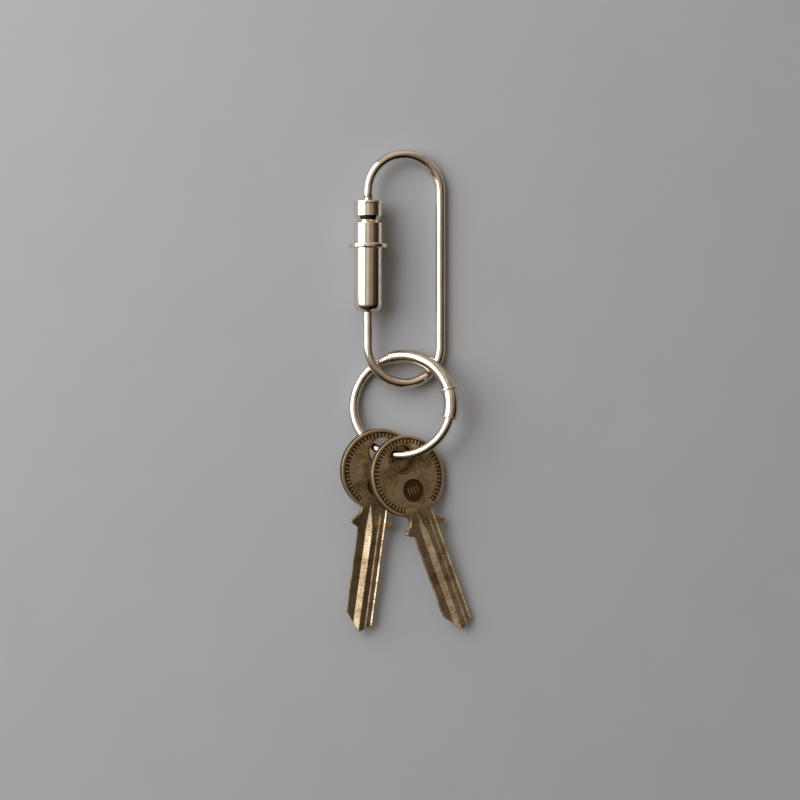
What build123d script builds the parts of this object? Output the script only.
"""Carabiner keyring, lying flat: a wire carabiner with a sprung sliding barrel,
a wire ring with a sprung curved sleeve, and two uncut cylinder keys.

Frame: +Z up, +Y along the whole chain towards the carabiner's crown, origin on the
surface it lies on, under the middle of its box. Everything is in millimetres.
Each sub-assembly is drawn in its own frame and then laid in place.
"""

from build123d import *
import os
from math import cos, radians, sin

os.makedirs("parts", exist_ok=True)

# ---------------------------------------------------------------- driving dimensions
# Carabiner: a racetrack of round wire, its left rod cut for the gate
wire_diameter = 3.0
wire_end_chamfer = 0.3
bend_radius = 11.1  # to the wire's centre line
straight_half = 23.4  # half the length of the straight rods

# End cap on the upper end of the cut rod; heights are along the rod, from mid-height
cap_top = 20.2
cap_rim_height = 0.9
cap_rim_diameter = 9.3
cap_rim_chamfer = 0.2
cap_diameter = 8.6
cap_taper_top = 15.8
cap_bottom = 13.8
cap_nose_diameter = 6.4
spigot_diameter = 6.3
spigot_length = 1.5
cap_rod_depth = 4.5

# Sliding barrel
barrel_top = 13.7
barrel_bottom = -13.2
barrel_diameter = 8.8
barrel_lower_diameter = 8.6
barrel_end_radius = 2.4
barrel_lip = 0.2
pocket_diameter = 6.5
pocket_floor = 11.6
web_bottom = 9.6
web_bore_diameter = 3.2
chamber_diameter = 6.7
bush_top = -10.2
bush_bore_diameter = 3.1
gate_travel = 8.0

# Thumb flange pressed on the barrel
flange_top = 7.5
flange_height = 1.5
flange_diameter = 11.8
flange_edge = 0.35

# Fixed collar on the lower rod, its cross pin, and the spring it carries
rod_end = barrel_top - gate_travel
collar_top = -4.2
collar_height = 2.5
collar_diameter = 6.5
collar_chamfer = 0.3
pin_diameter = 1.0
pin_length = 6.2
washer_gap = 0.1  # also left at each end of the spring, halved
washer_top = web_bottom - washer_gap
washer_thickness = 0.5
washer_diameter = 6.3
washer_bore = 3.4
spring_diameter = 6.0
spring_wire = 0.6
spring_turns = 7.5

# Ring: thin wire for most of its round, a tube for the rest; angles run
# anticlockwise in the ring's own plane, from its right-hand side
ring_radius = 15.05
ring_wire_diameter = 2.9
ring_wire_chamfer = 0.25
seam_angle = 106.0
wire_root_angle = 101.5
nose_angle = 347.5
housing_diameter = 3.9
housing_bore = 3.0
housing_fillet = 0.42
housing_mouth_angle = 12.0
sleeve_diameter = 4.5
sleeve_bore = 4.0
sleeve_top_angle = 18.0
sleeve_step_angle = -9.0
sleeve_mouth_angle = -16.0
sleeve_lip_diameter = 4.9
sleeve_lip_span = 1.6
ring_flange_diameter = 6.1
ring_flange_span = 1.9
plunger_diameter = 2.8
plunger_foot_angle = -12.0
plunger_head_angle = 40.0
ring_spring_diameter = 2.5
ring_spring_wire = 0.36
ring_spring_turns = 17
ring_spring_inset = 1.2  # degrees from each stop to the end turn's centre

# Keys: origin at the hole's centre, in mid-thickness, blade towards -Y
key_thickness = 2.0
bow_radius = 12.3
bow_drop = 5.6  # bow centre below the hole's centre
key_hole_diameter = 8.2
dimple_diameter = 7.0
dimple_drop = 10.2
dimple_depth = 0.25
blade_width = 8.4
blade_left_end = 49.2
blade_tip = 55.0
blade_right_end = 52.5
tip_offset = 0.4
shoulder_drop = 21.8
shoulder_reach = 7.0
shoulder_radius = 0.7
flare_top = 17.0  # where the shoulder's upper edge leaves the bow
flare_sag = 1.0  # how far that edge curves in
shoulder_foot = 23.6  # where its lower edge meets the blade
margin_width = 2.6
margin_depth = 0.6
margin_start = 15.0
groove_left = 0.2
groove_width = 2.0
groove_depth = 0.4
groove_start = 17.0
band_width = 1.5
band_top_width = 0.8
band_depth = 0.3
band_start = 14.2
runout = 6.0


def lying(x, y, z, heading=0, pitch=0, roll=0):
    """A place on the surface: turned about Z, tipped about X, then rolled about Y."""
    place = Location((x, y, z))
    place *= Location((0, 0, 0), (0, 0, 1), heading)
    place *= Location((0, 0, 0), (1, 0, 0), pitch)
    place *= Location((0, 0, 0), (0, 1, 0), roll)
    return place


# How the pieces lie. The barrel's flange props the carabiner's left side up; the ring
# passes under its lower left bend and over its lower right one.
carabiner_place = lying(-0.43, 36.6, 3.75, roll=11.5)
ring_place = lying(-1.08, -4.65, 5.42, pitch=-7.2, roll=-13.2)
back_key_place = lying(-7.25, -18.2, 5.75, heading=-7.7, pitch=2.4, roll=21.7)
front_key_place = lying(-1.56, -20.5, 7.2, heading=19.5, pitch=4.6, roll=28.0)


def rod_plane(height):
    """A plane across the cut rod, its normal up the rod."""
    return Plane(origin=(-bend_radius, height, 0), x_dir=(1, 0, 0), z_dir=(0, 1, 0))


def ring_section(angle):
    """The half plane that cuts the ring at an angle: local X is the radius."""
    return Plane.XZ.rotated((0, 0, angle))


def write(pieces, place):
    """Lay each piece of a sub-assembly in its place, label it and write its file."""
    for label, piece in pieces.items():
        piece.part.move(place)
        piece.part.label = label
        export_step(piece.part, f"parts/{label}.step")


# ---------------------------------------------------------------- carabiner
with BuildPart() as carabiner_frame:
    with BuildLine() as centre_line:
        lower_rod = Line((-bend_radius, rod_end), (-bend_radius, -straight_half))
        foot_middle = (0, -straight_half - bend_radius)
        foot = ThreePointArc(lower_rod @ 1, foot_middle, (bend_radius, -straight_half))
        back_rod = Line(foot @ 1, (bend_radius, straight_half))
        crown_middle = (0, straight_half + bend_radius)
        crown = ThreePointArc(back_rod @ 1, crown_middle, (-bend_radius, straight_half))
        Line(crown @ 1, (-bend_radius, cap_top - cap_rod_depth))
    with BuildSketch(rod_plane(rod_end)):
        Circle(wire_diameter / 2)
    sweep(path=centre_line.wires()[0])
    with BuildSketch(Plane(origin=(-bend_radius, collar_top - collar_height / 2, 0))):
        Circle(pin_diameter / 2)
    extrude(amount=wire_diameter, both=True, mode=Mode.SUBTRACT)
    rims = carabiner_frame.edges().filter_by(GeomType.CIRCLE)
    chamfer(rims.filter_by(lambda e: abs(e.center().Y - rod_end) < 0.01), wire_end_chamfer)

with BuildPart() as end_cap:
    with BuildSketch(Plane.XY) as cap_profile:
        with BuildLine():
            Polyline(
                (-bend_radius, cap_top),
                (-bend_radius + cap_rim_diameter / 2, cap_top),
                (-bend_radius + cap_rim_diameter / 2, cap_top - cap_rim_height),
                (-bend_radius + cap_diameter / 2, cap_top - cap_rim_height),
                (-bend_radius + cap_diameter / 2, cap_taper_top),
                (-bend_radius + cap_nose_diameter / 2, cap_bottom),
                (-bend_radius + spigot_diameter / 2, cap_bottom),
                (-bend_radius + spigot_diameter / 2, cap_bottom - spigot_length),
                (-bend_radius, cap_bottom - spigot_length),
                close=True,
            )
        make_face()
    revolve(axis=Axis((-bend_radius, 0, 0), (0, 1, 0)))
    with BuildSketch(rod_plane(cap_top)):
        Circle(wire_diameter / 2)
    extrude(amount=-cap_rod_depth, mode=Mode.SUBTRACT)
    cap_rims = end_cap.edges().filter_by(GeomType.CIRCLE)
    outer_rims = cap_rims.filter_by(lambda e: abs(e.radius - cap_rim_diameter / 2) < 0.01)
    chamfer(outer_rims, cap_rim_chamfer)

with BuildPart() as stop_collar:
    with BuildSketch(rod_plane(collar_top)):
        Circle(collar_diameter / 2)
        Circle(wire_diameter / 2, mode=Mode.SUBTRACT)
    extrude(amount=-collar_height)
    outer_rims = stop_collar.edges().filter_by(GeomType.CIRCLE).sort_by(SortBy.RADIUS)[-2:]
    chamfer(outer_rims, collar_chamfer)
    with BuildSketch(Plane(origin=(-bend_radius, collar_top - collar_height / 2, 0))):
        Circle(pin_diameter / 2)
    extrude(amount=collar_diameter, both=True, mode=Mode.SUBTRACT)

with BuildPart() as collar_pin:
    with BuildSketch(Plane(origin=(-bend_radius, collar_top - collar_height / 2, 0))):
        Circle(pin_diameter / 2)
    extrude(amount=pin_length / 2, both=True)

with BuildPart() as spring_washer:
    with BuildSketch(rod_plane(washer_top)):
        Circle(washer_diameter / 2)
        Circle(washer_bore / 2, mode=Mode.SUBTRACT)
    extrude(amount=-washer_thickness)

spring_length = washer_top - washer_thickness - collar_top
coil_length = spring_length - spring_wire - washer_gap
coil_radius = (spring_diameter - spring_wire) / 2
with BuildPart() as gate_spring:
    with BuildLine() as coil:
        Helix(
            pitch=coil_length / spring_turns,
            height=coil_length,
            radius=coil_radius,
            center=(-bend_radius, collar_top + (spring_wire + washer_gap) / 2, 0),
            direction=(0, 1, 0),
        )
    with BuildSketch(Plane(origin=coil.line @ 0, z_dir=coil.line % 0)):
        Circle(spring_wire / 2)
    sweep(is_frenet=True)

with BuildPart() as gate_sleeve:
    end_centre = barrel_lower_diameter / 2 - barrel_end_radius
    chamber_radius = chamber_diameter / 2
    reach = chamber_radius - end_centre
    end_height = barrel_bottom + barrel_end_radius
    end_drop = (barrel_end_radius**2 - reach**2) ** 0.5
    with BuildSketch(Plane.XY):
        with BuildLine(Plane(origin=(-bend_radius, 0, 0))):
            outside = Polyline(
                (chamber_radius, end_height - end_drop),
                (chamber_radius, web_bottom),
                (web_bore_diameter / 2, web_bottom),
                (web_bore_diameter / 2, pocket_floor),
                (pocket_diameter / 2, pocket_floor),
                (pocket_diameter / 2, barrel_top),
                (barrel_diameter / 2 - barrel_lip, barrel_top),
                (barrel_diameter / 2, barrel_top - barrel_lip),
                (barrel_diameter / 2, flange_top),
                (barrel_lower_diameter / 2, flange_top),
                (barrel_lower_diameter / 2, end_height),
            )
            RadiusArc(outside @ 1, outside @ 0, barrel_end_radius)
        make_face()
    revolve(axis=Axis((-bend_radius, 0, 0), (0, 1, 0)))

with BuildPart() as gate_bush:
    with BuildSketch(Plane.XY):
        with BuildLine(Plane(origin=(-bend_radius, 0, 0))):
            inside = Polyline(
                (chamber_radius, end_height - end_drop),
                (chamber_radius, bush_top),
                (bush_bore_diameter / 2, bush_top),
                (bush_bore_diameter / 2, barrel_bottom),
                (end_centre, barrel_bottom),
            )
            RadiusArc(inside @ 1, inside @ 0, barrel_end_radius)
        make_face()
    revolve(axis=Axis((-bend_radius, 0, 0), (0, 1, 0)))

with BuildPart() as thumb_flange:
    with BuildSketch(rod_plane(flange_top)):
        Circle(flange_diameter / 2)
        Circle(barrel_lower_diameter / 2, mode=Mode.SUBTRACT)
    extrude(amount=-flange_height)
    outer_rims = thumb_flange.edges().filter_by(GeomType.CIRCLE).sort_by(SortBy.RADIUS)[-2:]
    fillet(outer_rims, flange_edge)

write(
    {
        "carabiner_frame": carabiner_frame,
        "end_cap": end_cap,
        "stop_collar": stop_collar,
        "collar_pin": collar_pin,
        "spring_washer": spring_washer,
        "gate_spring": gate_spring,
        "gate_sleeve": gate_sleeve,
        "gate_bush": gate_bush,
        "thumb_flange": thumb_flange,
    },
    carabiner_place,
)

# ---------------------------------------------------------------- ring
with BuildPart() as ring_wire:
    with BuildSketch(ring_section(wire_root_angle)):
        with Locations((ring_radius, 0)):
            Circle(ring_wire_diameter / 2)
    revolve(axis=Axis.Z, revolution_arc=nose_angle - wire_root_angle)
    chamfer(ring_wire.edges().filter_by(GeomType.CIRCLE), ring_wire_chamfer)

with BuildPart() as ring_housing:
    with BuildSketch(ring_section(housing_mouth_angle)):
        with Locations((ring_radius, 0)):
            Circle(housing_diameter / 2)
    revolve(axis=Axis.Z, revolution_arc=seam_angle - housing_mouth_angle)
    housing_rims = ring_housing.edges().filter_by(GeomType.CIRCLE)
    fillet(housing_rims.sort_by(Axis.X)[0], housing_fillet)
    with BuildSketch(ring_section(housing_mouth_angle)):
        with Locations((ring_radius, 0)):
            Circle(housing_bore / 2)
    bore_span = wire_root_angle - housing_mouth_angle
    revolve(axis=Axis.Z, revolution_arc=bore_span, mode=Mode.SUBTRACT)
    with BuildSketch(ring_section(wire_root_angle)):
        with Locations((ring_radius, 0)):
            Circle(ring_wire_diameter / 2)
    revolve(axis=Axis.Z, revolution_arc=seam_angle - wire_root_angle, mode=Mode.SUBTRACT)

with BuildPart() as ring_sleeve:
    with BuildSketch(ring_section(sleeve_mouth_angle)):
        with Locations((ring_radius, 0)):
            Circle(sleeve_diameter / 2)
    revolve(axis=Axis.Z, revolution_arc=sleeve_top_angle - sleeve_mouth_angle)
    with BuildSketch(ring_section(sleeve_mouth_angle)):
        with Locations((ring_radius, 0)):
            Circle(sleeve_lip_diameter / 2)
    revolve(axis=Axis.Z, revolution_arc=sleeve_lip_span)
    with BuildSketch(ring_section(sleeve_step_angle)):
        with Locations((ring_radius, 0)):
            Circle(sleeve_bore / 2)
    wide_span = sleeve_top_angle - sleeve_step_angle
    revolve(axis=Axis.Z, revolution_arc=wide_span, mode=Mode.SUBTRACT)
    with BuildSketch(ring_section(sleeve_mouth_angle)):
        with Locations((ring_radius, 0)):
            Circle(housing_bore / 2)
    narrow_span = sleeve_step_angle - sleeve_mouth_angle
    revolve(axis=Axis.Z, revolution_arc=narrow_span, mode=Mode.SUBTRACT)

with BuildPart() as ring_flange:
    with BuildSketch(ring_section(sleeve_top_angle - ring_flange_span)):
        with Locations((ring_radius, 0)):
            Circle(ring_flange_diameter / 2)
            Circle(sleeve_diameter / 2, mode=Mode.SUBTRACT)
    revolve(axis=Axis.Z, revolution_arc=ring_flange_span)

with BuildPart() as ring_plunger:
    with BuildSketch(ring_section(plunger_foot_angle)):
        with Locations((ring_radius, 0)):
            Circle(plunger_diameter / 2)
    revolve(axis=Axis.Z, revolution_arc=plunger_head_angle - plunger_foot_angle)
    with BuildSketch(ring_section(plunger_foot_angle)):
        with Locations((ring_radius, 0)):
            Circle(housing_bore / 2)
    revolve(axis=Axis.Z, revolution_arc=sleeve_step_angle - plunger_foot_angle)

# The curved spring's turns, followed round the ring by a spline
first_turn = plunger_head_angle + ring_spring_inset
last_turn = wire_root_angle - ring_spring_inset
turn_radius = (ring_spring_diameter - ring_spring_wire) / 2
steps_per_turn = 8
steps = ring_spring_turns * steps_per_turn
coil_points = []
for step in range(steps + 1):
    along = radians(first_turn + (last_turn - first_turn) * step / steps)
    phase = radians(360 * step / steps_per_turn)
    out = ring_radius + turn_radius * cos(phase)
    coil_points.append((out * cos(along), out * sin(along), turn_radius * sin(phase)))
with BuildPart() as ring_spring:
    with BuildLine() as turns:
        Spline(coil_points)
    with BuildSketch(Plane(origin=turns.line @ 0, z_dir=turns.line % 0)):
        Circle(ring_spring_wire / 2)
    sweep()

write(
    {
        "ring_wire": ring_wire,
        "ring_housing": ring_housing,
        "ring_spring": ring_spring,
        "ring_plunger": ring_plunger,
        "ring_sleeve": ring_sleeve,
        "ring_flange": ring_flange,
    },
    ring_place,
)

# ---------------------------------------------------------------- keys
for label, place in (("back_key", back_key_place), ("front_key", front_key_place)):
    half_width = blade_width / 2
    face_height = key_thickness / 2
    with BuildPart() as key:
        with BuildSketch():
            with Locations((0, -bow_drop)):
                Circle(bow_radius)
            with BuildLine():
                Polyline(
                    (-half_width, -bow_drop),
                    (-half_width, -blade_left_end),
                    (tip_offset, -blade_tip),
                    (half_width, -blade_right_end),
                    (half_width, -bow_drop),
                    close=True,
                )
            make_face()
            for side in (-1, 1):
                tip_x = side * (shoulder_reach - shoulder_radius)
                with Locations((tip_x, -shoulder_drop)):
                    Circle(shoulder_radius)
                with BuildLine():
                    flare_start = (side * half_width, -flare_top)
                    tip_top = (tip_x, shoulder_radius - shoulder_drop)
                    SagittaArc(flare_start, tip_top, -side * flare_sag)
                    Polyline(
                        tip_top,
                        (tip_x, -shoulder_radius - shoulder_drop),
                        (side * half_width, -shoulder_foot),
                        (side * tip_offset, -shoulder_foot),
                        (side * tip_offset, -flare_top),
                        flare_start,
                    )
                make_face()
            Circle(key_hole_diameter / 2, mode=Mode.SUBTRACT)
        extrude(amount=face_height, both=True)
        face = Plane.XY.offset(face_height)
        with BuildSketch(face):
            with Locations((0, -dimple_drop)):
                Circle(dimple_diameter / 2)
        extrude(amount=-dimple_depth, mode=Mode.SUBTRACT)
        with BuildSketch(face):
            with BuildLine():
                Polyline(
                    (margin_width - half_width, -margin_start),
                    (margin_width - half_width, -blade_tip),
                    (-half_width - 1, -blade_tip),
                    (-half_width - 1, -margin_start - runout),
                    close=True,
                )
            make_face()
        extrude(amount=-margin_depth, mode=Mode.SUBTRACT)
        with BuildSketch(face):
            with BuildLine():
                Polyline(
                    (groove_left + groove_width / 2, -groove_start),
                    (groove_left + groove_width, -margin_start - runout),
                    (groove_left + groove_width, -blade_tip),
                    (groove_left, -blade_tip),
                    (groove_left, -margin_start - runout),
                    close=True,
                )
            make_face()
        extrude(amount=-groove_depth, mode=Mode.SUBTRACT)
        with BuildSketch(face):
            with BuildLine():
                Polyline(
                    (groove_left + groove_width + band_top_width, -band_start),
                    (groove_left + groove_width + band_width, -band_start - runout),
                    (groove_left + groove_width + band_width, -blade_tip),
                    (groove_left + groove_width, -blade_tip),
                    (groove_left + groove_width, -band_start - runout),
                    close=True,
                )
            make_face()
        extrude(amount=-band_depth, mode=Mode.SUBTRACT)
    write({label: key}, place)

# ---------------------------------------------------------------- axes for the joints
for joint, place, point, direction in (
    ("gate slide and spin", carabiner_place, (-bend_radius, 0, 0), (0, 1, 0)),
    ("ring gate", ring_place, (0, 0, 0), (0, 0, 1)),
    ("back key", back_key_place, (0, 0, 0), (0, 0, 1)),
    ("front key", front_key_place, (0, 0, 0), (0, 0, 1)),
):
    start = (place * Location(point)).position
    end = (place * Location(Vector(*point) + Vector(*direction))).position
    at = tuple(round(v, 4) for v in start)
    along = tuple(round(v, 6) for v in end - start)
    print(joint, "at", at, "along", along)
